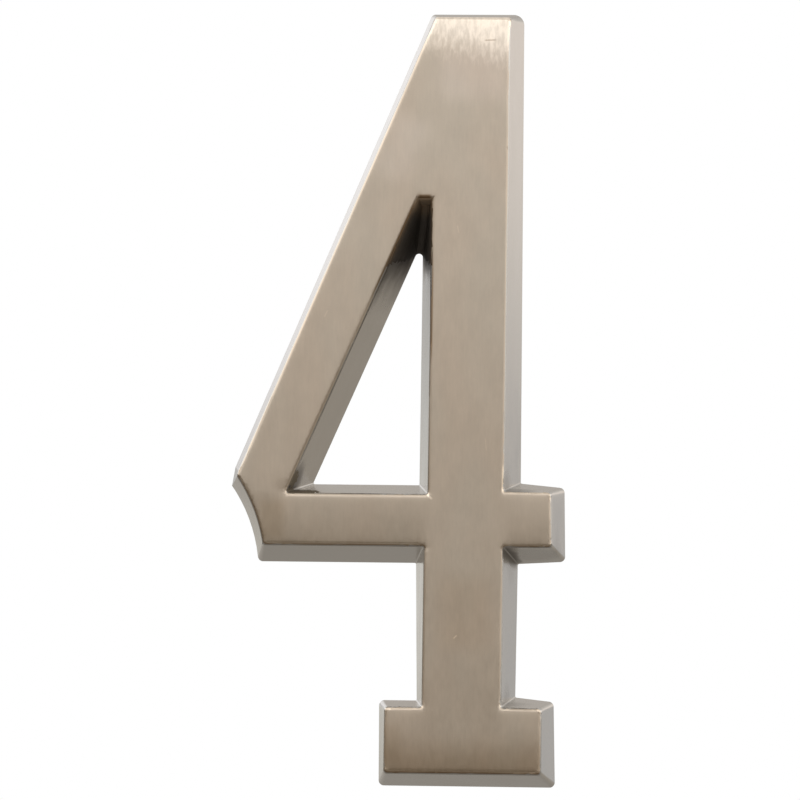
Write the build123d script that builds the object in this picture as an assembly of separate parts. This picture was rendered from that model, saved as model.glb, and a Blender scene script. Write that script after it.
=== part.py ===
from build123d import *
import os
from math import cos, radians, tan

# House number 4: one hollow-backed casting with drafted walls, a pierced triangular counter
# and two tapped bosses behind for hidden wall studs.
# Frame: millimetres, +Z up, the wall plane at Y = 0 and the face looking along -Y.
# The origin lies on the wall plane, on the stem's axis, midway between the two tapped holes.

# Overall form
overall_height = 101.6        # foot to top over the spread back edge, a nominal 4 in figure
depth = 9.5                   # wall plane to face
wall_spread = 1.65            # how far an outer wall spreads from the face to the wall plane
stem_spread = 1.4             # the same under the foot, at two of its corners and at the stub's lower root
end_spread = 1.3              # the same at the ends of the stem and the stub and at the foot's lower left
shoulder_spread = 1.1         # the same over the foot, at its upper right and over the stub's outer corner
counter_spread = 1.75         # the same for the walls of the counter, which close in towards the back

# Strokes, all measured on the face
stem_width = 9.9
leg_step = 0.4                # how much further left the stem's side stands below the crossbar
top_width = 9.75              # flat top, from the stem's right side to the diagonal
foot_width = 20.35
foot_height = 8.65
bar_rise = 29.4               # foot of the face to the underside of the crossbar
bar_height = 6.8              # left arm of the crossbar
stub_height = 7.25            # right stub of the crossbar
stub_reach = 6.3              # right stub beyond the stem, at its underside
stub_slant = 0.2              # how much shorter the stub is along its upper side
diagonal_lean = 22.65         # degrees from upright, outer side of the diagonal
diagonal_width = 6.85         # square across the diagonal where it meets the crossbar

# Counter, measured on the face
counter_lean = 23.4           # degrees from upright, the counter's sloping side
counter_height = 38.45        # crossbar to the blunt upper end
counter_corner = 0.2          # radius in the counter's two lower corners
counter_tip = 0.5             # radius in its narrow upper corner

# Hollowed heel where the diagonal runs into the crossbar, measured on the face
heel_reach = 21.35            # stem's left side to the heel's lower corner
heel_rise = 9.0               # underside of the crossbar to the tip above the hollow
heel_radius = 22.0            # radius of the hollow

# Rounding
edge_radius = 0.48            # softened rim of the face
face_corner_allowance = 0.06  # how much rounder than its rim an outer corner of the face is
inner_corner = 0.2            # plan radius in the corners where strokes meet
back_corner = 0.7             # plan radius of the outline's outer corners at the wall plane
back_top_corner = 1.4         # the same for the stem's top right corner

# Hollow back
wall = 2.2                    # metal left all round the hollow
face_thickness = 2.5          # metal left behind the face
core_corner = 0.6             # plan radius in the hollow's corners

# Stud bosses on the stem's axis
hole_spacing = 63.5
lower_hole_rise = 19.1        # foot of the face to the lower hole
boss_diameter = 9.2
thread_core_diameter = 3.3    # drilled size of an M4 thread
thread_depth = 6.5
thread_lead = 0.4             # countersink at the mouth of each hole

# Worked out from the sizes above
cut_overrun = 1.0             # how far a cutting body runs past the surface that it opens
face_foot = -(lower_hole_rise + hole_spacing / 2)
face_top = face_foot + overall_height - wall_spread - stem_spread
stem_right = stem_width / 2
stem_left = -stem_width / 2
leg_left = stem_left - leg_step
bar_bottom = face_foot + bar_rise
bar_top = bar_bottom + bar_height
face_corner = edge_radius + face_corner_allowance


def depth_share(y):
    """Share of the way from the face to the wall plane at y."""
    return (y + depth) / depth


def diagonal_outer_x(z, spread):
    """X of the diagonal's outer side at height z, moved out square to itself by spread."""
    start = stem_right - top_width
    lean = radians(diagonal_lean)
    return start - (face_top - z) * tan(lean) - spread / cos(lean)


def diagonal_inner_x(z, shrink):
    """X of the counter's sloping side at height z, moved into the counter by shrink."""
    start = diagonal_outer_x(bar_top, 0) + diagonal_width / cos(radians(diagonal_lean))
    lean = radians(counter_lean)
    return start + (z - bar_top) * tan(lean) + shrink / cos(lean)


def heel_centre():
    """Centre of the heel's hollow, from its two ends on the face and its radius."""
    tip_z = bar_bottom + heel_rise
    low = Vector(stem_left - heel_reach, bar_bottom)
    tip = Vector(diagonal_outer_x(tip_z, 0), tip_z)
    chord = tip - low
    inset = (heel_radius**2 - (chord.length / 2) ** 2) ** 0.5
    outward = Vector(-chord.Y, chord.X).normalized()
    return (low + tip) * 0.5 + outward * inset


def in_stem(corner, slack):
    """Whether a corner of the outline is one where a crossing stroke meets the stem."""
    reach = wall_spread + inner_corner + slack
    below_top = corner.Y < face_top - stem_width
    return below_top and leg_left - reach < corner.X < stem_right + reach


def towards_top_right(corner):
    """How far a corner of the outline lies towards the stem's top right corner."""
    return corner.X + corner.Y


def outline(share, inset, outer_corner, top_corner, meeting_corner):
    """The numeral's outline with its counter filled in, at a share of the depth and drawn in by inset."""
    spread = wall_spread * share - inset
    beside = stem_spread * share - inset
    at_end = end_spread * share - inset
    shoulder = shoulder_spread * share - inset
    top = face_top + spread
    leg_top = leg_left - spread
    leg_foot = leg_left - at_end
    stub_right = stem_right + stub_reach + at_end
    stub_top = bar_bottom + stub_height
    under_bar = bar_bottom - spread
    foot_side = foot_width / 2
    foot_top = face_foot + foot_height
    foot_bottom = face_foot - beside
    strokes = Polygon(
        (diagonal_outer_x(top, spread), top),
        (stem_right + at_end, top),
        (stem_right + spread, stub_top + spread),
        (stub_right - stub_slant, stub_top + shoulder),
        (stub_right, bar_bottom - at_end),
        (stem_right + beside, under_bar),
        (stem_right + at_end, foot_top + spread),
        (foot_side + shoulder, foot_top + shoulder),
        (foot_side + beside, foot_bottom),
        (-foot_side - at_end, foot_bottom),
        (-foot_side - beside, foot_top + shoulder),
        (leg_foot, foot_top + shoulder),
        (leg_top, under_bar),
        (diagonal_outer_x(under_bar, spread), under_bar),
        align=None,
    )
    centre = heel_centre()
    hollow = Pos(centre.X, centre.Y) * Circle(heel_radius - spread)
    shape = strokes - hollow
    meeting = shape.vertices().filter_by(lambda corner: in_stem(corner, 0))
    shape = fillet(meeting, meeting_corner)
    ends = shape.vertices().filter_by(lambda corner: not in_stem(corner, meeting_corner))
    shape = fillet(ends.sort_by(towards_top_right)[:-1], outer_corner)
    return fillet(shape.vertices().sort_by(towards_top_right)[-1], top_corner)


def at_y(sketch, y):
    """Stands a flat sketch upright, facing the front, at the given Y."""
    return Plane.XZ.offset(-y) * sketch


def outer_form():
    """The casting's outside: the face outline spreading to the wall plane."""
    face = at_y(outline(0, 0, face_corner, face_corner, inner_corner), -depth)
    back = at_y(outline(1, 0, back_corner, back_top_corner, inner_corner), 0)
    return loft([face, back], ruled=True)


def counter_section(shrink, rounder):
    """The counter's triangle, closed in by shrink, with its corners rounder by the given length."""
    side = stem_left - shrink
    base = bar_top + shrink
    apex_z = bar_top + (side - diagonal_inner_x(bar_top, shrink)) / tan(radians(counter_lean))
    triangle = Polygon((side, base), (side, apex_z), (diagonal_inner_x(base, shrink), base), align=None)
    rounded = fillet(triangle.vertices().sort_by(Axis.Y)[-1], counter_tip + rounder)
    return fillet(rounded.vertices().sort_by(Axis.Y)[:2], counter_corner + rounder)


def counter_form(margin):
    """The counter's opening with its tapering walls and blunt upper end, grown by margin."""
    front_y = -depth - cut_overrun
    back_y = cut_overrun
    front_shrink = counter_spread * depth_share(front_y) - margin
    back_shrink = counter_spread * depth_share(back_y) - margin
    front = at_y(counter_section(front_shrink, margin), front_y)
    back = at_y(counter_section(back_shrink, margin), back_y)
    wedge = loft([front, back], ruled=True)
    blunt_end = Plane(
        origin=(0, -depth, bar_top + counter_height + margin),
        x_dir=(1, 0, 0),
        z_dir=(0, counter_spread, depth),
    )
    return split(wedge, bisect_by=blunt_end, keep=Keep.BOTTOM)


def boss_places():
    """Places of the two bosses on the wall plane, with their axes along the depth."""
    return [Plane.XZ * Pos(0, side * hole_spacing / 2) for side in (-1, 1)]


def hollow_form():
    """The hollow behind the face, stopping short of the counter's walls and of the bosses."""
    floor_y = face_thickness - depth
    floor = at_y(outline(depth_share(floor_y), wall, core_corner, core_corner, core_corner), floor_y)
    mouth = at_y(outline(depth_share(cut_overrun), wall, core_corner, core_corner, core_corner), cut_overrun)
    hollow = loft([floor, mouth], ruled=True) - counter_form(wall)
    boss = Cylinder(boss_diameter / 2, 2 * depth)
    for place in boss_places():
        hollow -= place * boss
    return hollow


def tapped_hole():
    """One blind stud hole with its countersunk mouth, drawn along the depth from the wall plane."""
    radius = thread_core_diameter / 2
    bore = Pos(0, 0, -cut_overrun) * Cylinder(
        radius, thread_depth + cut_overrun, align=(Align.CENTER, Align.CENTER, Align.MIN)
    )
    mouth = Cone(radius + thread_lead, radius, thread_lead, align=(Align.CENTER, Align.CENTER, Align.MIN))
    return bore + mouth


def house_number():
    """The whole casting."""
    body = outer_form() - counter_form(0)
    face = body.faces().sort_by(Axis.Y)[0]
    body = fillet(face.edges(), edge_radius)
    body -= hollow_form()
    for place in boss_places():
        body -= place * tapped_hole()
    return body


os.makedirs("parts", exist_ok=True)
casting = house_number()
casting.label = "house_number"
export_step(casting, "parts/house_number.step")
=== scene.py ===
"""Dresses a cast house number, the figure 4, in brushed satin nickel and sets it in a plain studio."""

import logging
import math
from dataclasses import dataclass
from enum import Enum

import bmesh
import bpy
from mathutils import Matrix, Vector, noise
from mathutils.bvhtree import BVHTree


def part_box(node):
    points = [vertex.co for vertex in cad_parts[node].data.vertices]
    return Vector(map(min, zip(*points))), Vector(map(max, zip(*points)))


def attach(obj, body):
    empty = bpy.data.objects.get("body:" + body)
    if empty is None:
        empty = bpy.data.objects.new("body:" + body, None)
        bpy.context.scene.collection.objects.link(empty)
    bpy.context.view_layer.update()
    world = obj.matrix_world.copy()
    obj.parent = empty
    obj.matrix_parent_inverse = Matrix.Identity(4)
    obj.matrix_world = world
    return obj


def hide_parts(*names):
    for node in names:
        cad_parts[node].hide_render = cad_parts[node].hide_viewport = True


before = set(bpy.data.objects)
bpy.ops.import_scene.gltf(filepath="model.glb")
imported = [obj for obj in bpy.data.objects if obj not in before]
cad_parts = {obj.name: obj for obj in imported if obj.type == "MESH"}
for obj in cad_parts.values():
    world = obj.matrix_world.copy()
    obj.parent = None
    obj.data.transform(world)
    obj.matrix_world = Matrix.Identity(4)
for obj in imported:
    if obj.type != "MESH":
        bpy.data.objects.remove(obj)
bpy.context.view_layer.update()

LOG = logging.getLogger("house_number")
MM = 0.001
MERGE_DISTANCE = 0.0005 * MM
CUT_DISTANCE = 0.002 * MM
PICTURE_SIDE = 800
# Name of the attribute that holds the painted shade on rims that look down.
LOW_RIM_SHADE = "low_rim_shade"

Colour = tuple[float, float, float]
Point = tuple[float, float, float]
Span = tuple[float, float]
Stops = tuple[tuple[float, Colour], ...]
Socket = bpy.types.NodeSocket
Shell = bmesh.types.BMesh
Face = bmesh.types.BMFace


def smooth_step(low: float, high: float, value: float) -> float:
    """Eases from 0 where a value is low to 1 where it is high."""
    share = min(1.0, max(0.0, (value - low) / (high - low)))
    return share * share * (3.0 - 2.0 * share)


def grey(level: float) -> Colour:
    """Gives a neutral colour."""
    return (level, level, level)


def rgba(colour: Colour, gain: float = 1.0) -> tuple[float, float, float, float]:
    """Gives a colour its alpha, made lighter or darker by a gain."""
    return (*(gain * part for part in colour), 1.0)


def planes_along(start: float, length: float, step: float) -> list[float]:
    """Places planes a step apart along a length, starting half a step in."""
    return [start + step * (number + 0.5) for number in range(int(length / step))]


def cut_in_rows(shell: Shell, faces: list[Face], axis: int, cuts: list[float]) -> None:
    """Cuts faces at the middle one of some planes, then each half at its own planes.

    Args:
        shell: The mesh.
        faces: The faces to cut.
        axis: The axis that the planes stand across.
        cuts: The planes' places, in order.
    """
    if not cuts or not faces:
        return
    middle = len(cuts) // 2
    point, normal = Vector(), Vector()
    point[axis], normal[axis] = cuts[middle], 1.0
    edges = {e for f in faces for e in f.edges}
    verts = {v for f in faces for v in f.verts}
    result = bmesh.ops.bisect_plane(
        shell, geom=[*verts, *edges, *faces], dist=CUT_DISTANCE, plane_co=point, plane_no=normal
    )
    found = [g for g in result["geom"] if isinstance(g, Face)]
    upper = [f for f in found if f.calc_center_median()[axis] > cuts[middle]]
    lower = [f for f in found if f.calc_center_median()[axis] <= cuts[middle]]
    cut_in_rows(shell, lower, axis, cuts[:middle])
    cut_in_rows(shell, upper, axis, cuts[middle + 1:])


class Zone(Enum):
    """The finishes of the casting, by material number."""

    FACE = 0
    SIDE = 1
    BACK = 2
    # Painted shade: a dark finish put in the counter's narrow tip and its left corner.
    PAINTED_SHADE = 3


class Spread(Enum):
    """How much of a noise's range counts, as the half width about its middle."""

    WIDE = 0.30
    EVEN = 0.25
    NARROW = 0.20
    STEEP = 0.15


@dataclass(frozen=True)
class Grain:
    """A noise: its waves to the metre along each axis, and how many finer waves it has and how strong."""

    stretch: Point
    detail: float
    rough: float


class NodeSheet:
    """A shader node tree that starts with coordinates, with short calls that add nodes and join them."""

    def __init__(self, tree: bpy.types.NodeTree, source: str = "Object") -> None:
        """Empties the tree, and starts it with coordinates and their three parts.

        Args:
            tree: The tree to fill.
            source: Blender's name of the coordinates.
        """
        self.tree = tree
        self.tree.nodes.clear()
        self.place = self.add("ShaderNodeTexCoord").outputs[source]
        self.x, self.y, self.z = self.add("ShaderNodeSeparateXYZ", self.place).outputs

    def add(self, kind: str, *values: object, **settings: object) -> bpy.types.Node:
        """Adds a node and feeds its inputs.

        Args:
            kind: Blender's name of the node type.
            *values: What the inputs get, from the first one on.
            **settings: Properties to set on the node.

        Returns:
            The new node.
        """
        node = self.tree.nodes.new(kind)
        for name, value in settings.items():
            setattr(node, name, value)
        for socket, value in zip(node.inputs, values):
            self.feed(socket, value)
        return node

    def feed(self, socket: Socket, value: object) -> None:
        """Links a socket to an input, or sets a plain value on it.

        Args:
            socket: The input.
            value: An output socket, a number, a colour or a vector.
        """
        if isinstance(value, Socket):
            self.tree.links.new(value, socket)
        else:
            socket.default_value = value

    def fill(self, node: bpy.types.Node, values: dict[str, object]) -> None:
        """Feeds a node's inputs by name."""
        for name, value in values.items():
            self.feed(node.inputs[name], value)

    def math(self, operation: str, first: object, second: object = 0.0) -> Socket:
        """Works out one sum of numbers, by Blender's name of it."""
        return self.add("ShaderNodeMath", first, second, operation=operation).outputs[0]

    def vector(self, operation: str, first: object, second: object) -> bpy.types.Node:
        """Works out one sum of vectors, by Blender's name of it, with its result in Vector or Value."""
        return self.add("ShaderNodeVectorMath", first, second, operation=operation)

    def fade(self, value: object, start: object, end: float, low: float = 0.0, high: float = 1.0) -> Socket:
        """Eases from low where a value is at start to high where it is at end."""
        parts = (value, start, end, low, high)
        return self.add("ShaderNodeMapRange", *parts, interpolation_type="SMOOTHSTEP").outputs[0]

    def vary(self, grain: Socket, spread: Spread, middle: float = 0.5, gain: float = 0.5) -> Socket:
        """Spreads a noise about a middle value, by a gain to either side."""
        return self.fade(grain, 0.5 - spread.value, 0.5 + spread.value, middle - gain, middle + gain)

    def mix(self, share: object, first: object, second: object, mode: str = "MIX") -> Socket:
        """Mixes two colours.

        Args:
            share: How much of the second colour there is.
            first: The first colour or socket.
            second: The second colour or socket.
            mode: Blender's name of the way to mix.

        Returns:
            The mixed colour's socket.
        """
        node = self.add("ShaderNodeMix", share, data_type="RGBA", blend_type=mode)
        self.feed(node.inputs[6], first)
        self.feed(node.inputs[7], second)
        return node.outputs[2]

    def grain(self, form: Grain) -> Socket:
        """Adds a stretched noise.

        Args:
            form: The noise's form.

        Returns:
            The noise's socket, about 0.5 on average.
        """
        node = self.add("ShaderNodeTexNoise", noise_dimensions="3D")
        place = self.vector("MULTIPLY", self.place, form.stretch).outputs["Vector"]
        self.fill(node, {"Vector": place, "Scale": 1.0, "Detail": form.detail, "Roughness": form.rough})
        return node.outputs["Fac"]

    def low_rim_shade(self) -> Socket:
        """Reads the painted shade on the rims that look down, from 0 to 1."""
        return self.add("ShaderNodeAttribute", attribute_name=LOW_RIM_SHADE).outputs["Fac"]


@dataclass(frozen=True)
class Finish:
    """What the casting's finishes share: a name, and one shaded surface with a bump."""

    name: str

    def make(self) -> bpy.types.Material:
        """Makes the finish's material.

        Returns:
            The material.
        """
        material = bpy.data.materials.new(self.name)
        material.use_nodes = True
        sheet = NodeSheet(material.node_tree)
        values = self._paint(sheet)
        bump = sheet.add("ShaderNodeBump")
        sheet.fill(bump, {"Distance": 1.0, "Strength": 1.0, "Height": values.pop("Height")})
        shader = sheet.add("ShaderNodeBsdfPrincipled")
        sheet.fill(shader, {**values, "Normal": bump.outputs[0]})
        sheet.add("ShaderNodeOutputMaterial", shader.outputs[0])
        return material

    def _paint(self, sheet: NodeSheet) -> dict[str, object]:
        """Works out the shader's values and the bump's height, each finish in its own way."""
        raise NotImplementedError


@dataclass(frozen=True)
class WearAndLightMark:
    """A scratch, a painted highlight or a painted shade on the face, from one point to another, in
    millimetres.

    The core, border and overrun are shares of its width, and the full stretch is a share of its length.
    """

    start: tuple[float, float]
    end: tuple[float, float]
    width: float
    gain: Colour
    core: float = 0.2
    border: float = 0.8
    full: float = 0.6
    overrun: float = 0.3

    def mask(self, sheet: NodeSheet) -> Socket:
        """Finds where the mark is.

        Args:
            sheet: The face's node sheet.

        Returns:
            A socket that is 1 on the mark and 0 off it.
        """
        run = Vector(self.end) - Vector(self.start)
        along = run.normalized()
        middle = 0.5 * (Vector(self.start) + Vector(self.end))
        off_x = sheet.math("SUBTRACT", sheet.x, middle.x * MM)
        off_z = sheet.math("SUBTRACT", sheet.z, middle.y * MM)
        lengthwise = (sheet.math("MULTIPLY", off_x, along.x), sheet.math("MULTIPLY", off_z, along.y))
        crosswise = (sheet.math("MULTIPLY", off_x, along.y), sheet.math("MULTIPLY", off_z, along.x))
        forward = sheet.math("ABSOLUTE", sheet.math("ADD", *lengthwise))
        aside = sheet.math("ABSOLUTE", sheet.math("SUBTRACT", *crosswise))
        half = 0.5 * run.length * MM
        width = self.width * MM
        narrow = sheet.fade(aside, self.core * width, self.border * width, 1.0, 0.0)
        short = sheet.fade(forward, self.full * half, half + self.overrun * width, 1.0, 0.0)
        return sheet.math("MULTIPLY", narrow, short)


@dataclass(frozen=True)
class BrushedFace(Finish):
    """The face's finish: warm nickel with short hairlines brushed up and down."""

    name: str = "brushed_nickel_face"
    tone: Colour = (0.60, 0.502, 0.395)
    warm: Colour = (1.012, 0.995, 0.985)
    cool: Colour = (0.99, 1.004, 1.01)
    rough: float = 0.32
    rough_gain: float = 0.03
    anisotropy: float = 0.6
    hairline: Grain = Grain((5200.0, 5200.0, 420.0), 2.0, 0.6)
    streak: Grain = Grain((2200.0, 2200.0, 700.0), 3.0, 0.6)
    blotch: Grain = Grain((420.0, 420.0, 230.0), 3.0, 0.55)
    patch: Grain = Grain((120.0, 120.0, 60.0), 2.0, 0.5)
    hairline_depth: float = 0.0000012
    hairline_gain: float = 0.015
    blotch_gain: float = 0.035
    # Painted highlight: the top of the face runs to a paler tone, with lighter streaks in it.
    top_start: float = 0.0412
    top_end: float = 0.0466
    top_tilt: float = 0.18
    top_fray: float = 0.0011
    top_highlight_tone: Colour = (0.865, 0.745, 0.613)
    top_streak_depth: float = 0.000009
    highlight_strand_gain: float = 0.08
    # Painted shade: the face turns darker and warmer towards the foot's bottom edge.
    foot_shade_start: float = -0.0500
    foot_shade_end: float = -0.0445
    foot_shade_tint: Colour = (0.82, 0.77, 0.71)
    # Painted shade: the rims that look down are darkened.
    low_rim_shade_tint: Colour = (0.36, 0.31, 0.26)
    # Marks of wear and painted light on the face, in millimetres. The bright marks at the corners of the
    # crossbar, foot and stub and along the stem's right rim are painted highlights on nicks and beaded edges.
    # The thin lines are scratches, one of them dark, and a short dark mark sits on the stem's right rim. The
    # dark marks along the counter's edges and at the heel's tip, and the dimmed top rims of the crossbar and
    # foot, are painted shade. The broad marks at the end lighten or darken stretches of the face as painted
    # light and shade.
    wear_and_light_marks: tuple[WearAndLightMark, ...] = (
        WearAndLightMark((-5.45, -14.30), (-4.35, -15.35), 0.26, (1.60, 1.62, 1.65)),
        WearAndLightMark((-23.75, -14.35), (-23.25, -14.00), 0.30, (1.30, 1.32, 1.35)),
        WearAndLightMark((-1.35, -33.35), (-0.90, -32.90), 0.16, grey(1.35)),
        WearAndLightMark((1.55, 44.64), (3.20, 44.70), 0.15, (0.62, 0.57, 0.53)),
        WearAndLightMark((-5.70, -42.10), (-5.35, -41.85), 0.30, (1.50, 1.52, 1.55)),
        WearAndLightMark((4.80, -41.95), (5.10, -41.75), 0.30, (1.50, 1.52, 1.55)),
        WearAndLightMark((-9.75, -42.65), (-9.35, -42.50), 0.30, grey(1.45)),
        WearAndLightMark((9.60, -42.50), (10.05, -42.40), 0.30, grey(1.45)),
        WearAndLightMark((4.75, 30.75), (4.95, 30.30), 0.20, (0.75, 0.73, 0.71)),
        WearAndLightMark((4.80, 37.40), (4.90, 38.20), 0.22, grey(1.20)),
        WearAndLightMark((4.80, -14.60), (4.85, -10.60), 0.34, (1.55, 1.55, 1.52)),
        WearAndLightMark((11.00, -15.40), (11.10, -14.50), 0.30, grey(1.30)),
        WearAndLightMark((-1.60, 20.40), (-1.35, 19.30), 0.14, grey(1.12)),
        WearAndLightMark((2.40, -7.20), (2.60, -9.00), 0.14, grey(1.10)),
        WearAndLightMark((-18.80, 8.20), (-18.30, 9.20), 0.14, grey(1.12)),
        WearAndLightMark((-12.75, 10.20), (-6.30, 25.10), 0.55, (0.42, 0.33, 0.25)),
        WearAndLightMark((-29.80, -12.30), (-29.35, -11.20), 0.34, (0.58, 0.53, 0.48)),
        WearAndLightMark((-4.78, 2.00), (-4.78, 17.00), 0.28, (0.62, 0.52, 0.43)),
        WearAndLightMark((-6.80, 24.10), (-5.00, 24.10), 0.55, (0.45, 0.36, 0.28)),
        WearAndLightMark((-22.50, -14.55), (-6.00, -14.55), 0.60, grey(0.80)),
        WearAndLightMark((5.60, -42.20), (10.00, -42.20), 0.60, (0.76, 0.75, 0.74)),
        WearAndLightMark((-25.20, -15.60), (-25.20, -20.80), 3.20, (0.87, 0.83, 0.78)),
        WearAndLightMark((-9.40, -44.40), (-9.40, -49.50), 2.60, (0.93, 0.91, 0.88)),
        WearAndLightMark((0.00, -25.50), (0.00, -34.50), 6.00, (0.97, 0.94, 0.91)),
        WearAndLightMark((-7.40, 34.50), (-10.60, 26.50), 4.50, (1.08, 1.09, 1.12)),
        WearAndLightMark((-4.00, 40.00), (4.50, 40.00), 6.00, (1.10, 1.10, 1.13)),
    )

    def _paint(self, sheet: NodeSheet) -> dict[str, object]:
        """Works out the brushed colour and gloss.

        Args:
            sheet: The material's node sheet.

        Returns:
            The shader's values by name, and the bump's height in metres.
        """
        fine = sheet.grain(self.hairline)
        broad = sheet.grain(self.streak)
        blotch = sheet.grain(self.blotch)
        top_highlight = self._top_highlight(sheet, broad)
        # Painted highlight: lighter streaks where the top's highlight is painted.
        highlight_strand = sheet.vary(broad, Spread.STEEP, 0.0, self.highlight_strand_gain)
        level = sheet.math("ADD", 1.0, sheet.math("MULTIPLY", top_highlight, highlight_strand))
        uneven = ((broad, self.hairline_gain), (fine, self.hairline_gain), (blotch, self.blotch_gain))
        for grain, gain in uneven:
            level = sheet.math("MULTIPLY", level, sheet.vary(grain, Spread.EVEN, 1.0, gain))
        hairs = sheet.math("MULTIPLY", fine, self.hairline_depth)
        lifted = sheet.math("MULTIPLY", top_highlight, self.top_streak_depth)
        return {
            "Base Color": sheet.mix(1.0, self._tone(sheet, top_highlight), level, "MULTIPLY"),
            "Metallic": 1.0,
            "Roughness": sheet.vary(broad, Spread.WIDE, self.rough, self.rough_gain),
            "Anisotropic": self.anisotropy,
            "Tangent": sheet.add("ShaderNodeCombineXYZ", 1.0).outputs[0],
            "Height": sheet.math("ADD", hairs, sheet.math("MULTIPLY", broad, lifted)),
        }

    def _top_highlight(self, sheet: NodeSheet, broad: Socket) -> Socket:
        """Finds where the top gets its painted highlight, with a frayed lower border that leans to the right.

        Args:
            sheet: The face's node sheet.
            broad: The streaks' noise.

        Returns:
            A share from 0 below to 1 at the top.
        """
        leaning = sheet.math("ADD", sheet.z, sheet.math("MULTIPLY", sheet.x, self.top_tilt))
        frayed = sheet.math("ADD", leaning, sheet.vary(broad, Spread.EVEN, 0.0, self.top_fray))
        return sheet.fade(frayed, self.top_start, self.top_end)

    def _tone(self, sheet: NodeSheet, top_highlight: Socket) -> Socket:
        """Works out the face's colour with its tints, its painted highlight and shade, and its marks of wear
        and painted light.

        Args:
            sheet: The face's node sheet.
            top_highlight: The share of the painted highlight at the top.

        Returns:
            The colour's socket.
        """
        patch = sheet.vary(sheet.grain(self.patch), Spread.NARROW)
        tinted = sheet.mix(patch, rgba(self.warm), rgba(self.cool))
        tone = sheet.mix(1.0, rgba(self.tone), tinted, "MULTIPLY")
        # Painted shade towards the foot's bottom edge.
        low = sheet.fade(sheet.z, self.foot_shade_start, self.foot_shade_end, 1.0, 0.0)
        tone = sheet.mix(low, tone, rgba(self.foot_shade_tint), "MULTIPLY")
        # Painted highlight: the top runs to the paler tone.
        tone = sheet.mix(top_highlight, tone, rgba(self.top_highlight_tone))
        # Painted shade on the rims that look down.
        tone = sheet.mix(sheet.low_rim_shade(), tone, rgba(self.low_rim_shade_tint), "MULTIPLY")
        # Marks of wear and painted light: scratches, painted glints, and painted shade along edges and over
        # stretches of the face.
        for mark in self.wear_and_light_marks:
            tone = sheet.mix(mark.mask(sheet), tone, rgba(mark.gain), "MULTIPLY")
        return tone


@dataclass(frozen=True)
class SoftShade:
    """A soft painted shade on the sides round a place or along a run through it, all in millimetres."""

    middle: Point
    near: float
    far: float
    depth: float
    run: Point = (0.0, 0.0, 0.0)

    def mask(self, sheet: NodeSheet, ragged: Socket) -> Socket:
        """Finds where the shade is.

        Args:
            sheet: The sides' node sheet.
            ragged: A small length that frays the shade's edge, in metres.

        Returns:
            A socket from 0 off the shade to its depth at its middle.
        """
        away = sheet.vector("DISTANCE", sheet.place, self._nearest(sheet))
        reach = sheet.math("ADD", away.outputs["Value"], ragged)
        return sheet.fade(reach, self.near * MM, self.far * MM, self.depth, 0.0)

    def _nearest(self, sheet: NodeSheet) -> Socket | Vector:
        """Finds the place on the shade's run that lies nearest.

        Args:
            sheet: The sides' node sheet.

        Returns:
            The nearest place, which is the middle of a shade with no run.
        """
        middle = MM * Vector(self.middle)
        run = MM * Vector(self.run)
        if run.length == 0.0:
            return middle
        offset = sheet.vector("SUBTRACT", sheet.place, middle).outputs["Vector"]
        along = sheet.vector("DOT_PRODUCT", offset, run / run.length_squared).outputs["Value"]
        held = sheet.math("MINIMUM", sheet.math("MAXIMUM", along, -1.0), 1.0)
        shift = sheet.vector("MULTIPLY", held, run).outputs["Vector"]
        return sheet.vector("ADD", shift, middle).outputs["Vector"]


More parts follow.
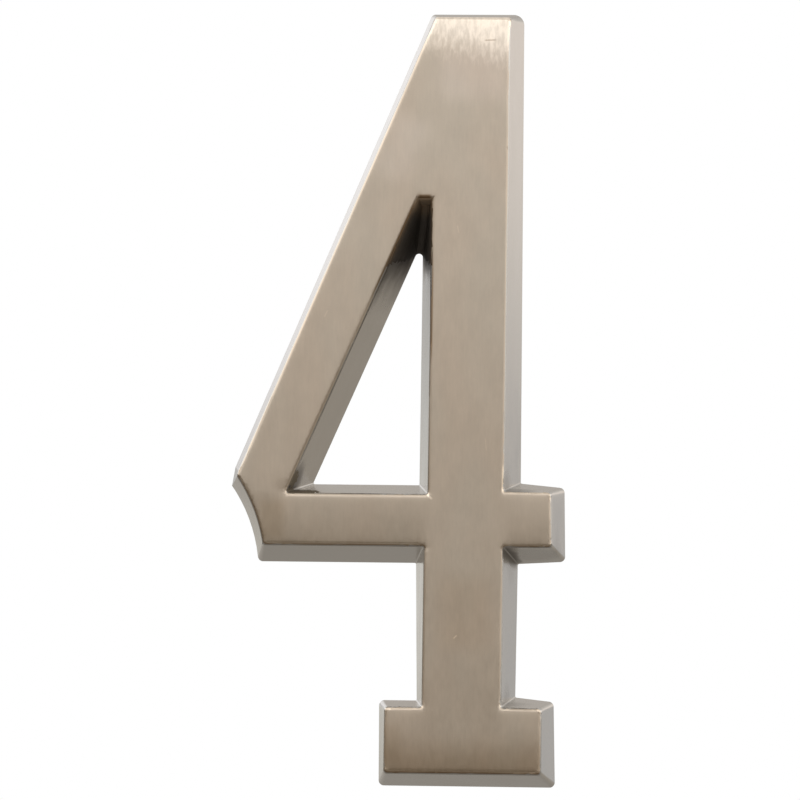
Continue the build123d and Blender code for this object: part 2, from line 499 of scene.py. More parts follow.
@dataclass(frozen=True)
class SatinSide(Finish):
    """The drafted sides' finish: cooler satin nickel, with painted shade in the counter's tight corners, on
    the low rims and in soft patches at creases.
    """

    name: str = "satin_nickel_side"
    tone: Colour = (0.56, 0.525, 0.48)
    dull_gain: float = 0.93
    # Painted shade: the dark colour of the shaded corners, rims and creases.
    painted_shade: Colour = (0.070, 0.052, 0.035)
    rough: float = 0.22
    rough_gain: float = 0.03
    painted_shade_rough: float = 0.35
    grain: Grain = Grain((2600.0, 2600.0, 2600.0), 2.0, 0.5)
    cloud: Grain = Grain((260.0, 260.0, 160.0), 3.0, 0.55)
    grain_depth: float = 0.0000015
    # Where the painted shade fills the counter's narrow tip.
    apex_low: float = 0.0085
    apex_low_right: float = 0.0135
    apex_high: float = 0.0180
    apex_middle: float = -0.0077
    apex_top: float = 0.0242
    apex_left: float = -0.0140
    apex_right: float = -0.0040
    apex_fray: float = 0.0012
    soft_shade_fray: float = 0.0005
    rim_shade_share: float = 0.55
    # Painted shade in creases: at the counter's left corner, under the stub at its root, on the foot's top by
    # the stem and on the stub's top at its root.
    soft_shades: tuple[SoftShade, ...] = (
        SoftShade((-22.4, -8.0, -13.2), 1.0, 3.6, 0.66),
        SoftShade((5.5, -5.2, -22.35), 0.5, 1.5, 0.56, (0.6, 3.9, -0.4)),
        SoftShade((8.6, -5.0, -22.4), 2.6, 5.2, 0.16),
        SoftShade((6.0, -6.0, -41.6), 0.4, 3.6, 0.25),
        SoftShade((6.2, -8.2, -13.6), 0.8, 3.4, 0.35),
    )

    def _paint(self, sheet: NodeSheet) -> dict[str, object]:
        """Works out the satin colour and gloss.

        Args:
            sheet: The material's node sheet.

        Returns:
            The shader's values by name, and the bump's height in metres.
        """
        cloud = sheet.grain(self.cloud)
        held = self._painted_shade_share(sheet, cloud)
        tone = sheet.mix(sheet.vary(cloud, Spread.NARROW), rgba(self.tone, self.dull_gain), rgba(self.tone))
        clean = sheet.vary(cloud, Spread.NARROW, self.rough, self.rough_gain)
        return {
            # Painted shade darkens the sides where its share is high.
            "Base Color": sheet.mix(held, tone, rgba(self.painted_shade)),
            "Metallic": 1.0,
            "Roughness": sheet.math("ADD", clean, sheet.math("MULTIPLY", held, self.painted_shade_rough)),
            "Height": sheet.math("MULTIPLY", sheet.grain(self.grain), self.grain_depth),
        }

    def _painted_shade_share(self, sheet: NodeSheet, cloud: Socket) -> Socket:
        """Finds where the sides take painted shade: in the counter's narrow tip, on the low rims and in soft
        patches at creases.

        Args:
            sheet: The sides' node sheet.
            cloud: A soft noise that frays the shade's edge.

        Returns:
            A share from 0 on unshaded metal to 1 under the full painted shade.
        """
        frayed = sheet.math("ADD", sheet.z, sheet.vary(cloud, Spread.WIDE, 0.0, self.apex_fray))
        on_stem = sheet.math("GREATER_THAN", sheet.x, self.apex_middle)
        start = sheet.fade(on_stem, 0.0, 1.0, self.apex_low, self.apex_low_right)
        held = sheet.fade(frayed, start, self.apex_high)
        for operation, part, limit in (
            ("LESS_THAN", sheet.z, self.apex_top),
            ("GREATER_THAN", sheet.x, self.apex_left),
            ("LESS_THAN", sheet.x, self.apex_right),
        ):
            held = sheet.math("MULTIPLY", held, sheet.math(operation, part, limit))
        # Painted shade on the low rims, at a share of its full depth.
        held = sheet.math("MAXIMUM", held, sheet.math("MULTIPLY", sheet.low_rim_shade(), self.rim_shade_share))
        # Painted shade in soft patches at the creases.
        ragged = sheet.vary(cloud, Spread.WIDE, 0.0, self.soft_shade_fray)
        for soft_shade in self.soft_shades:
            held = sheet.math("MAXIMUM", held, soft_shade.mask(sheet, ragged))
        return held


@dataclass(frozen=True)
class RecessShade(Finish):
    """A dark finish painted in as shade in the counter's narrow tip, and paler in its left corner."""

    name: str = "painted_recess_shade"
    tone: Colour = (0.050, 0.041, 0.032)
    paler_top: Colour = (0.14, 0.095, 0.056)
    edge: Colour = (0.062, 0.044, 0.028)
    corner_tone: Colour = (0.125, 0.099, 0.068)
    corner_below: float = 0.0
    rough: float = 0.75
    rough_gain: float = 0.1
    specular: float = 0.12
    lump: Grain = Grain((900.0, 900.0, 500.0), 3.0, 0.6)
    lump_depth: float = 0.00004
    paler_top_start: float = 0.0212
    paler_top_end: float = 0.0236
    paler_top_share: float = 0.85
    paler_top_gain: float = 0.15
    edge_start: float = -0.0093
    edge_end: float = -0.0078

    def _paint(self, sheet: NodeSheet) -> dict[str, object]:
        """Works out the painted shade's colour and dullness.

        Args:
            sheet: The material's node sheet.

        Returns:
            The shader's values by name, and the bump's height in metres.
        """
        lump = sheet.grain(self.lump)
        # Painted shade: darker by the face, paler towards the top of the tip, lighter in the left corner.
        near_face = sheet.fade(sheet.y, self.edge_start, self.edge_end, 1.0, 0.0)
        tone = sheet.mix(near_face, rgba(self.tone), rgba(self.edge))
        near_top = sheet.fade(sheet.z, self.paler_top_start, self.paler_top_end)
        uneven = sheet.vary(lump, Spread.WIDE, self.paler_top_share, self.paler_top_gain)
        tone = sheet.mix(sheet.math("MULTIPLY", near_top, uneven), tone, rgba(self.paler_top))
        low = sheet.math("LESS_THAN", sheet.z, self.corner_below)
        return {
            "Base Color": sheet.mix(low, tone, rgba(self.corner_tone)),
            "Roughness": sheet.vary(lump, Spread.NARROW, self.rough, self.rough_gain),
            "Specular IOR Level": self.specular,
            "Height": sheet.math("MULTIPLY", lump, self.lump_depth),
        }


@dataclass(frozen=True)
class CastBack(Finish):
    """The cored back's finish: dull plate over the casting's own skin."""

    name: str = "cast_nickel_back"
    tone: Colour = (0.60, 0.575, 0.54)
    dark_gain: float = 0.8
    light_gain: float = 1.1
    rough: float = 0.48
    rough_gain: float = 0.08
    skin: Grain = Grain((1900.0, 1900.0, 1900.0), 3.0, 0.6)
    flow: Grain = Grain((150.0, 150.0, 90.0), 4.0, 0.6)
    skin_depth: float = 0.000012

    def _paint(self, sheet: NodeSheet) -> dict[str, object]:
        """Works out the cast skin's colour and gloss.

        Args:
            sheet: The material's node sheet.

        Returns:
            The shader's values by name, and the bump's height in metres.
        """
        flow = sheet.grain(self.flow)
        dark, light = rgba(self.tone, self.dark_gain), rgba(self.tone, self.light_gain)
        return {
            "Base Color": sheet.mix(sheet.vary(flow, Spread.NARROW), dark, light),
            "Metallic": 1.0,
            "Roughness": sheet.vary(flow, Spread.WIDE, self.rough, self.rough_gain),
            "Height": sheet.math("MULTIPLY", sheet.grain(self.skin), self.skin_depth),
        }


@dataclass(frozen=True)
class ShadePatch:
    """A patch of painted shade on the counter's walls, by its middle and its half sizes, in millimetres."""

    middle: Point
    half: Point

    def share(self, place: Vector) -> float:
        """Gives 1 at the patch's middle, 0.5 at its edge and less outside."""
        off = [(a - b * MM) / (c * MM) for a, b, c in zip(place, self.middle, self.half)]
        return 1.0 - 0.5 * Vector(off).length_squared


@dataclass(frozen=True)
class CounterShade:
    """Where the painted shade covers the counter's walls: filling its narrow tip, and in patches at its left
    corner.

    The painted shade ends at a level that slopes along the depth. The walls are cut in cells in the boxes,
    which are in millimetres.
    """

    end: float = 16.15 * MM
    end_slope: float = 0.20
    end_fade: float = 1.3 * MM
    left: float = -12.0 * MM
    right: float = -4.6 * MM
    top: float = 24.6 * MM
    middle_y: float = -4.75 * MM
    cell: float = 0.18 * MM
    lump: float = 0.45 * MM
    fray: float = 0.35
    front_facing: float = 0.9
    square_on: float = 0.7
    patches: tuple[ShadePatch, ...] = (
        ShadePatch((-22.3, -8.8, -12.9), (1.2, 1.6, 1.2)),
        ShadePatch((-21.3, -8.4, -14.4), (2.3, 1.9, 0.7)),
    )
    boxes: tuple[tuple[Point, Point], ...] = (
        ((-13.0, -9.5, 12.5), (-4.6, 0.0, 18.5)),
        ((-23.9, -9.5, -15.0), (-18.5, 0.0, -10.5)),
    )

    def covers(self, place: Vector) -> bool:
        """Tells whether a place on a wall is in the painted shade.

        Args:
            place: The place.

        Returns:
            Whether the place is covered.
        """
        share = max(patch.share(place) for patch in self.patches)
        if self.left < place.x < self.right and place.z < self.top:
            level = place.z - self.end_slope * (place.y - self.middle_y)
            share = smooth_step(self.end - self.end_fade, self.end + self.end_fade, level)
        return share + self.fray * noise.noise(place / self.lump) > 0.5

    def cut(self, shell: Shell) -> None:
        """Cuts the walls in small cells where the painted shade ends.

        Args:
            shell: The casting's mesh.
        """
        for low, high in self.boxes:
            for axis in range(3):
                shell.normal_update()
                walls = [f for f in shell.faces if abs(f.normal[axis]) < self.square_on]
                walls = [f for f in walls if self._crosses(f, low, high)]
                length = MM * (high[axis] - low[axis])
                cut_in_rows(shell, walls, axis, planes_along(MM * low[axis], length, self.cell))

    def _crosses(self, face: Face, low: Point, high: Point) -> bool:
        """Tells whether a wall reaches into a box.

        Args:
            face: A face of the casting.
            low: The box's low corner, in millimetres.
            high: The box's high corner, in millimetres.

        Returns:
            Whether the face stands off the front plane and its own box meets the given one.
        """
        if abs(face.normal.y) > self.front_facing:
            return False
        for axis in range(3):
            span = [v.co[axis] for v in face.verts]
            if max(span) < MM * low[axis] or min(span) > MM * high[axis]:
                return False
        return True


@dataclass(frozen=True)
class StudThread:
    """The thread tapped in one stud hole; the reach of its hole is in shares of the core."""

    z: float
    pitch: float = 0.7 * MM
    core: float = 1.65 * MM
    root: float = 2.0 * MM
    crest_half: float = 0.05 * MM
    root_half: float = 0.30 * MM
    sunk: float = 0.02 * MM
    start: float = -0.75 * MM
    turns: int = 7
    steps: int = 28
    bottom: float = -6.6 * MM
    reach: Span = (0.5, 1.4)

    def cut(self, shell: Shell) -> None:
        """Opens the hole to the thread's outer size and sets the thread's ridge inside it.

        Args:
            shell: The casting's mesh.
        """
        wider = self.root - self.core
        nearest, farthest = (share * self.core for share in self.reach)
        for vert in shell.verts:
            spoke = Vector((vert.co.x, 0.0, vert.co.z - self.z))
            if nearest < spoke.length < farthest and vert.co.y > self.bottom:
                vert.co += wider * spoke.normalized()
        ridge = self._wind()
        shell.from_mesh(ridge)
        bpy.data.meshes.remove(ridge)

    def _wind(self) -> bpy.types.Mesh:
        """Winds the thread's ridge.

        Returns:
            The ridge, closed at both ends.
        """
        coil = bmesh.new()
        outline = (
            (self.root + self.sunk, -self.root_half),
            (self.core, -self.crest_half),
            (self.core, self.crest_half),
            (self.root + self.sunk, self.root_half),
        )
        corners = [coil.verts.new((reach, self.start + rise, self.z)) for reach, rise in outline]
        section = coil.faces.new(corners)
        bmesh.ops.spin(
            coil,
            geom=[section, *section.edges, *section.verts],
            cent=(0.0, 0.0, self.z),
            axis=(0.0, 1.0, 0.0),
            dvec=(0.0, -self.pitch / self.steps, 0.0),
            angle=2.0 * math.pi * self.turns,
            steps=self.turns * self.steps,
            use_merge=False,
            use_duplicate=False,
        )
        bmesh.ops.recalc_face_normals(coil, faces=coil.faces[:])
        ridge = bpy.data.meshes.new("ridge")
        coil.to_mesh(ridge)
        coil.free()
        return ridge


@dataclass(frozen=True)
class FaceRoll:
    """How the brushing lets the face fall away: over the top, on the crossbar and foot, and at its rims."""

    shoulder: float = 0.6 * MM
    shoulder_slope: float = 0.022
    face_top: float = 47.7 * MM
    top_roll: float = 7.0 * MM
    top_slope: float = 0.13
    top_tilt: float = 0.12
    stem_half: float = 4.95 * MM
    blend: float = 2.2 * MM
    blend_lead: float = 0.3
    bar_low: float = -21.45 * MM
    bar_high: float = -14.6 * MM
    bar_slope: float = 0.02
    bar_lean: float = 0.013
    stub_lean: float = 0.005
    counter_left: float = -23.5 * MM
    foot_low: float = -50.85 * MM
    foot_high: float = -42.2 * MM
    foot_slope: float = 0.018
    crown_reach: Span = (-1.5, 1.6)
    wave: float = 0.006 * MM
    wave_length: float = 9.0 * MM

    def fall(self, x: float, z: float, distance: float) -> float:
        """Works out how far the face falls away at a point.

        Args:
            x: Place across the figure.
            z: Place up the figure.
            distance: Distance from the rim.

        Returns:
            The fall, towards the wall.
        """
        top = max(0.0, (z + self.top_tilt * x - self.face_top + self.top_roll) / self.top_roll)
        fall = self.top_slope * self.top_roll * top**3 / 3.0
        arm_start = self.stem_half - self.blend_lead * self.blend
        arm = smooth_step(arm_start, arm_start + self.blend, abs(x))
        under_counter = smooth_step(self.counter_left - self.blend, self.counter_left, x)
        fall += arm * self._crown(z, self.bar_low, self.bar_high, self.bar_slope, under_counter)
        if self.bar_low - self.shoulder < z < self.bar_high:
            fall += arm * (self.bar_lean if x < 0.0 else self.stub_lean) * (self.bar_high - z)
        fall += self._crown(z, self.foot_low, self.foot_high, self.foot_slope, arm)
        edge = max(0.0, 1.0 - distance / self.shoulder)
        fall += 0.5 * self.shoulder_slope * self.shoulder * edge * edge
        wave = noise.noise(Vector((x, 0.0, z)) / self.wave_length)
        return max(0.0, fall + self.wave * (1.0 + wave))

    def _crown(self, z: float, low: float, high: float, slope: float, upper: float) -> float:
        """Works out the fall of a shallow crown, which runs out beyond its edges.

        Args:
            z: Place up the figure.
            low: The crown's lower edge.
            high: The crown's upper edge.
            slope: The crown's slope at its edges.
            upper: Share of the fall above the crown's middle.

        Returns:
            The fall.
        """
        half = 0.5 * (high - low)
        off = (z - low) / half - 1.0
        lowest, highest = self.crown_reach
        if off < lowest:
            return 0.0
        share = 1.0
        if off > 0.0:
            share = upper * (1.0 - smooth_step(1.0, highest, off))
        held = max(-1.0, min(1.0, off))
        return 0.5 * slope * half * share * held * held


@dataclass(frozen=True)
class Casting:
    """The cast figure: a face rolled off by brushing, drafted sides and a cored back.

    The heel's tip is trimmed through three points, which are in millimetres.
    """

    name: str = "house_number_casting"
    node: str = "house_number"
    body: str = "root"
    slot: str = "satin_nickel"
    face_y: float = -9.5 * MM
    rim_depth: float = 0.6 * MM
    flat_depth: float = 0.001 * MM
    flat_cosine: float = 0.99999
    cell: float = 0.4 * MM
    tip_cut: tuple[Point, Point, Point] = (
        (-29.81, -8.9, -12.19),
        (-31.04, 0.0, -11.13),
        (-31.42, 0.0, -13.35),
    )
    roll: FaceRoll = FaceRoll()
    # Painted shade: where the counter's walls take the dark finish.
    painted_shade: CounterShade = CounterShade()
    threads: tuple[StudThread, ...] = (StudThread(-31.75 * MM), StudThread(31.75 * MM))
    boss_reach: float = 4.7 * MM
    sharp_angle: float = math.radians(32.0)
    face_lean: float = math.radians(38.0)
    top_lean: float = math.radians(75.0)
    back_lean: float = 0.05
    rim_down: Span = (0.14, 0.42)
    rim_front: Span = (0.26, 0.55)
    heel_down: Span = (0.0, 0.10)
    heel_share: float = 0.5
    finishes: tuple[Finish, ...] = (BrushedFace(), SatinSide(), CastBack(), RecessShade())

    def build(self) -> bpy.types.Object:
        """Builds the casting from a merged copy of the frame's node.

        Returns:
            The piece, riding on its body and not yet dressed.
        """
        shell = bmesh.new()
        shell.from_mesh(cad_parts[self.node].data)
        bmesh.ops.remove_doubles(shell, verts=shell.verts[:], dist=MERGE_DISTANCE)
        self._trim_tip(shell)
        self.painted_shade.cut(shell)
        self._cut_grid(shell)
        self._roll_off(shell)
        for thread in self.threads:
            thread.cut(shell)
        shell.normal_update()
        self._mark_low_rim_shade(shell)
        self._mark_zones(shell)
        mesh = bpy.data.meshes.new(self.name)
        shell.to_mesh(mesh)
        shell.free()
        mesh.attributes.remove(mesh.attributes["custom_normal"])
        piece = bpy.data.objects.new(self.name, mesh)
        bpy.context.scene.collection.objects.link(piece)
        weighted = piece.modifiers.new("even_normals", "WEIGHTED_NORMAL")
        weighted.mode = "FACE_AREA"
        weighted.keep_sharp = True
        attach(piece, self.body)
        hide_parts(self.node)
        return piece

    def dress(self, piece: bpy.types.Object) -> None:
        """Gives the piece its finishes, in the order of the zones.

        Args:
            piece: The built casting.
        """
        for finish in self.finishes:
            piece.data.materials.append(finish.make())

    def _trim_tip(self, shell: Shell) -> None:
        """Takes the point off the heel's tip behind its rim, and marks the new edges as seams.

        Args:
            shell: The casting's mesh.
        """
        front, upper, lower = (MM * Vector(corner) for corner in self.tip_cut)
        outward = (upper - front).cross(lower - front).normalized()
        if outward.x > 0.0:
            outward.negate()
        result = bmesh.ops.bisect_plane(
            shell,
            geom=[*shell.verts, *shell.edges, *shell.faces],
            dist=CUT_DISTANCE,
            plane_co=front,
            plane_no=outward,
            clear_outer=True,
        )
        border = [g for g in result["geom_cut"] if isinstance(g, bmesh.types.BMEdge)]
        bmesh.ops.contextual_create(shell, geom=border)
        for edge in border:
            edge.seam = True

    def _flat_faces(self, shell: Shell) -> list[Face]:
        """Finds the flat of the face.

        Args:
            shell: The casting's mesh.

        Returns:
            The faces that lie in the front plane.
        """
        shell.normal_update()
        limit = self.face_y + self.flat_depth
        ahead = [f for f in shell.faces if f.normal.y < -self.flat_cosine]
        return [f for f in ahead if all(v.co.y < limit for v in f.verts)]

    def _cut_grid(self, shell: Shell) -> None:
        """Cuts the flat of the face in rows and columns, and its rim square to its own run.

        Args:
            shell: The casting's mesh.
        """
        low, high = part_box(self.node)
        limit = self.face_y + self.rim_depth
        for axis in (2, 0):
            faces = self._flat_faces(shell)
            flat = set(faces)
            for face in shell.faces:
                runs_across = abs(face.normal[axis]) <= abs(face.normal[2 - axis])
                if face not in flat and runs_across and all(v.co.y < limit for v in face.verts):
                    faces.append(face)
            cut_in_rows(shell, faces, axis, planes_along(low[axis], high[axis] - low[axis], self.cell))

    def _roll_off(self, shell: Shell) -> None:
        """Lets the face fall away as the brushing has left it.

        Args:
            shell: The casting's mesh.
        """
        limit = self.face_y + self.rim_depth
        flat = set(self._flat_faces(shell))
        shell.verts.index_update()
        places = [v.co.copy() for v in shell.verts]
        rim = [f for f in shell.faces if f not in flat and min(v.co.y for v in f.verts) < limit]
        tree = BVHTree.FromPolygons(places, [[v.index for v in f.verts] for f in rim])
        for vert, place in zip(shell.verts, places):
            if place.y < limit:
                vert.co.y += self.roll.fall(place.x, place.z, tree.find_nearest(place)[3])

    def _mark_low_rim_shade(self, shell: Shell) -> None:
        """Marks the painted shade on the rims that look down, and down to the left at the heel, in an
        attribute.

        Args:
            shell: The casting's mesh.
        """
        layer = shell.verts.layers.float.new(LOW_RIM_SHADE)
        limit = self.face_y + 2.0 * self.rim_depth
        for vert in shell.verts:
            if vert.co.y < limit:
                across, forward, upward = vert.normal
                heel = max(0.0, -across) * smooth_step(*self.heel_down, -upward)
                down = smooth_step(*self.rim_down, self.heel_share * heel - upward)
                vert[layer] = down * smooth_step(*self.rim_front, -forward)

    def _mark_zones(self, shell: Shell) -> None:
        """Gives each face its finish, and keeps the sharp corners and the seams sharp.

        Args:
            shell: The casting's mesh.
        """
        for face in shell.faces:
            face.smooth = True
            face.material_index = self._zone(face).value
        for edge in shell.edges:
            bends = edge.is_manifold and edge.calc_face_angle(0.0) < self.sharp_angle
            edge.smooth = bends and not edge.seam

    def _zone(self, face: Face) -> Zone:
        """Finds a face's finish.

        Args:
            face: A face of the casting.

        Returns:
            The finish's zone.
        """
        centre = face.calc_center_median()
        near_front = centre.y < self.face_y + 2.0 * self.rim_depth
        near_top = centre.z > self.roll.face_top - 2.0 * self.rim_depth
        looks_up = face.normal.z > -face.normal.x
        lean = self.top_lean if near_top and looks_up else self.face_lean
        if near_front and face.normal.y < -math.cos(lean):
            return Zone.FACE
        if face.normal.y > self.back_lean or self._is_cored(centre):
            return Zone.BACK
        # Painted shade: the counter's tip and left corner take the dark finish.
        return Zone.PAINTED_SHADE if self.painted_shade.covers(centre) else Zone.SIDE

    def _is_cored(self, place: Vector) -> bool:
        """Tells whether a place lies on a stud boss, its hole or its thread."""
        spokes = (Vector((place.x, place.z - thread.z)) for thread in self.threads)
        return any(spoke.length < self.boss_reach for spoke in spokes)


@dataclass(frozen=True)
class SoftLamp:
    """A soft box that faces the figure."""

    name: str
    place: Point
    width: float
    height: float
    level: float

    def build(self) -> bpy.types.Object:
        """Hangs the soft box.

        Returns:
            The lamp.
        """
        light = bpy.data.lights.new(self.name, "AREA")
        light.shape = "RECTANGLE"
        light.size = self.width
        light.size_y = self.height
        light.energy = self.level * math.pi * self.width * self.height
        lamp = bpy.data.objects.new(self.name, light)
        lamp.location = self.place
        lamp.rotation_euler = (-Vector(self.place)).to_track_quat("-Z", "Y").to_euler()
        lamp.visible_camera = False
        lamp.visible_glossy = False
        bpy.context.scene.collection.objects.link(lamp)
        return lamp


@dataclass(frozen=True)
class Surround:
    """The soft studio round the figure, as brightness over elevation in six directions.

    Over each span, in shares of a direction along X or Y, one brightness runs into the next.
    """

    front: Stops = (
        (-90.0, (0.46, 0.445, 0.42)),
        (-45.0, (0.46, 0.44, 0.41)),
        (-26.0, (0.40, 0.38, 0.35)),
        (-14.0, (0.20, 0.18, 0.15)),
        (-6.0, (0.135, 0.115, 0.09)),
        (0.0, (0.245, 0.217, 0.178)),
        (3.0, (0.44, 0.418, 0.385)),
        (6.0, (0.72, 0.72, 0.735)),
        (8.0, (1.06, 1.09, 1.13)),
        (11.0, (1.18, 1.21, 1.27)),
        (15.0, (1.14, 1.17, 1.22)),
        (24.0, (1.10, 1.13, 1.17)),
        (36.0, grey(0.85)),
        (90.0, grey(0.80)),
    )
    left: Stops = (
        (-90.0, (0.46, 0.445, 0.42)),
        (-20.0, (0.50, 0.48, 0.45)),
        (-8.0, (0.40, 0.375, 0.34)),
        (0.0, (0.28, 0.25, 0.21)),
        (7.0, (0.36, 0.325, 0.28)),
        (11.0, grey(0.55)),
        (16.0, grey(1.60)),
        (34.0, grey(1.90)),
        (48.0, grey(0.90)),
        (90.0, grey(0.80)),
    )
    right: Stops = (
        (-90.0, (0.46, 0.445, 0.42)),
        (-20.0, (0.50, 0.48, 0.45)),
        (-5.0, (0.30, 0.28, 0.25)),
        (0.0, (0.36, 0.34, 0.31)),
        (2.5, (0.55, 0.53, 0.50)),
        (5.0, (0.95, 0.94, 0.92)),
        (8.0, grey(1.55)),
        (15.0, grey(1.75)),
        (28.0, grey(1.30)),
        (40.0, grey(0.75)),
        (90.0, grey(0.80)),
    )
    back_left: Stops = (
        (-90.0, (0.22, 0.21, 0.19)),
        (-24.0, (0.37, 0.35, 0.32)),
        (-4.0, (0.50, 0.475, 0.44)),
        (1.0, (0.56, 0.54, 0.49)),
        (2.6, (0.84, 0.83, 0.79)),
        (5.0, (0.60, 0.60, 0.59)),
        (6.4, grey(0.50)),
        (8.0, (0.98, 0.97, 0.98)),
        (11.0, (1.24, 1.23, 1.25)),
        (14.0, grey(1.16)),
        (19.0, grey(0.80)),
        (30.0, grey(0.65)),
        (90.0, grey(0.50)),
    )
    back: Stops = (
        (-90.0, (0.22, 0.21, 0.19)),
        (-24.0, (0.37, 0.35, 0.32)),
        (-8.0, (0.38, 0.36, 0.33)),
        (2.0, (0.44, 0.42, 0.39)),
        (6.0, (0.44, 0.41, 0.37)),
        (10.0, (0.51, 0.47, 0.43)),
        (30.0, (0.60, 0.58, 0.55)),
        (90.0, grey(0.80)),
    )
    back_right: Stops = (
        (-90.0, (0.22, 0.21, 0.19)),
        (-24.0, (0.36, 0.34, 0.31)),
        (-8.0, (0.42, 0.385, 0.335)),
        (-2.0, (0.46, 0.44, 0.41)),
        (0.5, grey(0.56)),
        (4.4, (0.54, 0.53, 0.52)),
        (5.6, (0.85, 0.81, 0.77)),
        (8.0, (1.03, 0.95, 0.89)),
        (12.0, (1.00, 0.94, 0.88)),
        (17.0, (0.70, 0.68, 0.65)),
        (30.0, (0.62, 0.61, 0.60)),
        (90.0, grey(0.50)),
    )
    left_to_right: Span = (-0.35, 0.35)
    back_left_to_back: Span = (-0.20, -0.10)
    back_to_back_right: Span = (0.05, 0.30)
    front_to_side: Span = (-0.97, -0.72)
    side_to_rear: Span = (0.45, 0.88)
    close_behind: Span = (0.996, 0.9995)
    white: Colour = grey(1.0)

    def build(self) -> bpy.types.World:
        """Paints the surround: white to the camera and close behind the figure, soft elsewhere.

        Returns:
            The world.
        """
        world = bpy.data.worlds.new("surround")
        world.use_nodes = True
        sheet = NodeSheet(world.node_tree, "Generated")
        path = sheet.add("ShaderNodeLightPath").outputs
        mirrored = sheet.math("MAXIMUM", path["Is Glossy Ray"], path["Is Transmission Ray"])
        behind = sheet.math("MULTIPLY", mirrored, sheet.fade(sheet.y, *self.close_behind))
        seen = sheet.math("MAXIMUM", path["Is Camera Ray"], behind)
        shown = sheet.mix(seen, self._studio(sheet), rgba(self.white))
        light = sheet.add("ShaderNodeBackground", shown, 1.0)
        sheet.add("ShaderNodeOutputWorld", light.outputs[0])
        bpy.context.scene.world = world
        return world

    def _studio(self, sheet: NodeSheet) -> Socket:
        """Joins the six directions' brightness.

        Args:
            sheet: The world's node sheet.

        Returns:
            The colour's socket.
        """
        height = sheet.math("ADD", sheet.math("MULTIPLY", sheet.z, 0.5), 0.5)
        sides = (self.front, self.left, self.right, self.back_left, self.back, self.back_right)
        ramps = [self._ramp(sheet, height, stops) for stops in sides]
        front, left, right, back_left, back, back_right = ramps
        side = sheet.mix(sheet.fade(sheet.x, *self.left_to_right), left, right)
        rear = sheet.mix(sheet.fade(sheet.x, *self.back_left_to_back), back_left, back)
        rear = sheet.mix(sheet.fade(sheet.x, *self.back_to_back_right), rear, back_right)
        studio = sheet.mix(sheet.fade(sheet.y, *self.front_to_side), front, side)
        return sheet.mix(sheet.fade(sheet.y, *self.side_to_rear), studio, rear)

    @staticmethod
    def _ramp(sheet: NodeSheet, height: Socket, stops: Stops) -> Socket:
        """Adds a ramp of brightness over elevation.

        Args:
            sheet: The world's node sheet.
            height: The direction's height, from 0 straight down to 1 straight up.
            stops: Pairs of elevation in degrees and colour.

        Returns:
            The ramp's colour socket.
        """
        node = sheet.add("ShaderNodeValToRGB", height)
        elements = node.color_ramp.elements
        while len(elements) < len(stops):
            elements.new(0.5)
        for element, (elevation, colour) in zip(elements, stops):
            element.position = 0.5 + 0.5 * math.sin(math.radians(elevation))
            element.color = rgba(colour)
        return node.outputs[0]


@dataclass(frozen=True)
class FloorPaint:
    """The floor's pale paint, which runs out into the white before the camera."""

    name: str = "floor_paint"
    tone: Colour = (0.82, 0.82, 0.81)
    rough: float = 0.9
    fade_start: float = 0.15
    fade_end: float = 0.60

    def make(self) -> bpy.types.Material:
        """Makes the paint.

        Returns:
            The material.
        """
        paint = bpy.data.materials.new(self.name)
        paint.use_nodes = True
        sheet = NodeSheet(paint.node_tree)
        shader = sheet.add("ShaderNodeBsdfPrincipled")
        sheet.fill(shader, {"Base Color": rgba(self.tone), "Roughness": self.rough})
        away = sheet.add("ShaderNodeVectorMath", sheet.place, operation="LENGTH")
        seen = sheet.add("ShaderNodeLightPath").outputs["Is Camera Ray"]
        far_off = sheet.fade(away.outputs["Value"], self.fade_start, self.fade_end)
        share = sheet.math("MULTIPLY", far_off, seen)
        white = sheet.add("ShaderNodeEmission")
        blend = sheet.add("ShaderNodeMixShader", share, shader.outputs[0], white.outputs[0])
        sheet.add("ShaderNodeOutputMaterial", blend.outputs[0])
        return paint


@dataclass(frozen=True)
class Studio:
    """A plain pale floor and two soft lamps."""

    floor_z: float = -0.08
    floor_side: float = 3.0
    paint: FloorPaint = FloorPaint()
    lamps: tuple[SoftLamp, ...] = (
        SoftLamp("soft_lamp_right", (1.05, -0.25, 0.30), 0.8, 0.5, 1.2),
        SoftLamp("soft_lamp_rear_left", (-0.62, 0.85, 0.36), 0.7, 0.3, 1.2),
    )

    def build_floor(self) -> bpy.types.Object:
        """Lays the floor.

        Returns:
            The floor.
        """
        plate = bmesh.new()
        bmesh.ops.create_grid(plate, x_segments=1, y_segments=1, size=self.floor_side / 2)
        bmesh.ops.translate(plate, verts=plate.verts[:], vec=(0.0, 0.0, self.floor_z))
        mesh = bpy.data.meshes.new("floor")
        plate.to_mesh(mesh)
        plate.free()
        mesh.materials.append(self.paint.make())
        floor = bpy.data.objects.new("floor", mesh)
        floor.visible_glossy = False
        bpy.context.scene.collection.objects.link(floor)
        return floor


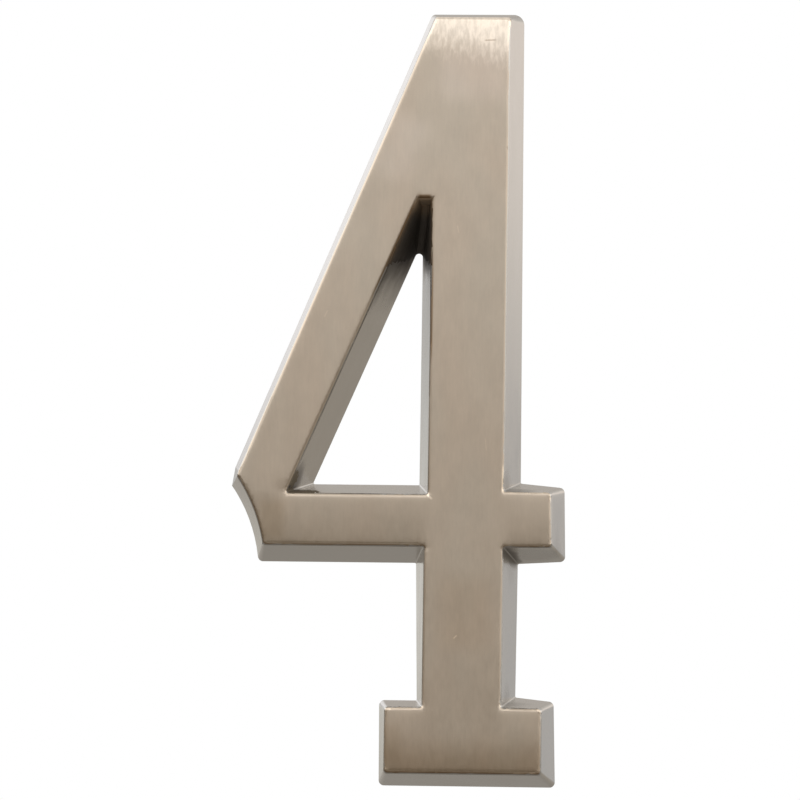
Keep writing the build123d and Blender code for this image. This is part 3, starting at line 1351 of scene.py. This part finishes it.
@dataclass(frozen=True)
class PhotoCamera:
    """The camera at the photograph's viewing angle, with the figure's origin at its place in the picture."""

    distance: float = 0.8
    azimuth: float = math.radians(3.565)
    elevation: float = math.radians(-4.742)
    roll: float = math.radians(0.805)
    focal_px: float = 6096.0
    origin_px: tuple[float, float] = (471.84, 387.7)
    sensor: float = 36.0
    clip: Span = (0.05, 20.0)

    def build(self) -> bpy.types.Object:
        """Sets up the camera.

        Returns:
            The camera, which is the scene's.
        """
        away = Vector((
            math.sin(self.azimuth) * math.cos(self.elevation),
            -math.cos(self.azimuth) * math.cos(self.elevation),
            math.sin(self.elevation),
        ))
        right = Vector((math.cos(self.azimuth), math.sin(self.azimuth), 0.0))
        up = right.cross(-away)
        turned_right = math.cos(self.roll) * right + math.sin(self.roll) * up
        turned_up = math.cos(self.roll) * up - math.sin(self.roll) * right
        middle = 0.5 * PICTURE_SIDE
        aim = -away + turned_right * ((middle - self.origin_px[0]) / self.focal_px)
        aim = (aim - turned_up * ((middle - self.origin_px[1]) / self.focal_px)).normalized()
        across = (turned_right - turned_right.dot(aim) * aim).normalized()
        upward = across.cross(aim)
        data = bpy.data.cameras.new("photo_camera")
        data.sensor_width = self.sensor
        data.lens = self.focal_px / PICTURE_SIDE * self.sensor
        data.clip_start, data.clip_end = self.clip
        camera = bpy.data.objects.new("photo_camera", data)
        axes = Matrix((across, upward, -aim)).transposed().to_4x4()
        camera.matrix_world = Matrix.Translation(away * self.distance) @ axes
        bpy.context.scene.collection.objects.link(camera)
        bpy.context.scene.camera = camera
        return camera


def main() -> None:
    """Builds the figure, then its studio and camera."""
    logging.basicConfig(level=logging.INFO, format="%(name)s: %(message)s")
    bpy.context.scene.view_settings.view_transform = "Standard"
    casting = Casting()
    piece = casting.build()
    casting.dress(piece)
    LOG.info("%s: %d faces", piece.name, len(piece.data.polygons))
    studio = Studio()
    LOG.info("%s laid", studio.build_floor().name)
    for lamp in studio.lamps:
        LOG.info("%s hung", lamp.build().name)
    LOG.info("%s painted", Surround().build().name)
    LOG.info("%s set", PhotoCamera().build().name)


if __name__ == "__main__":
    main()
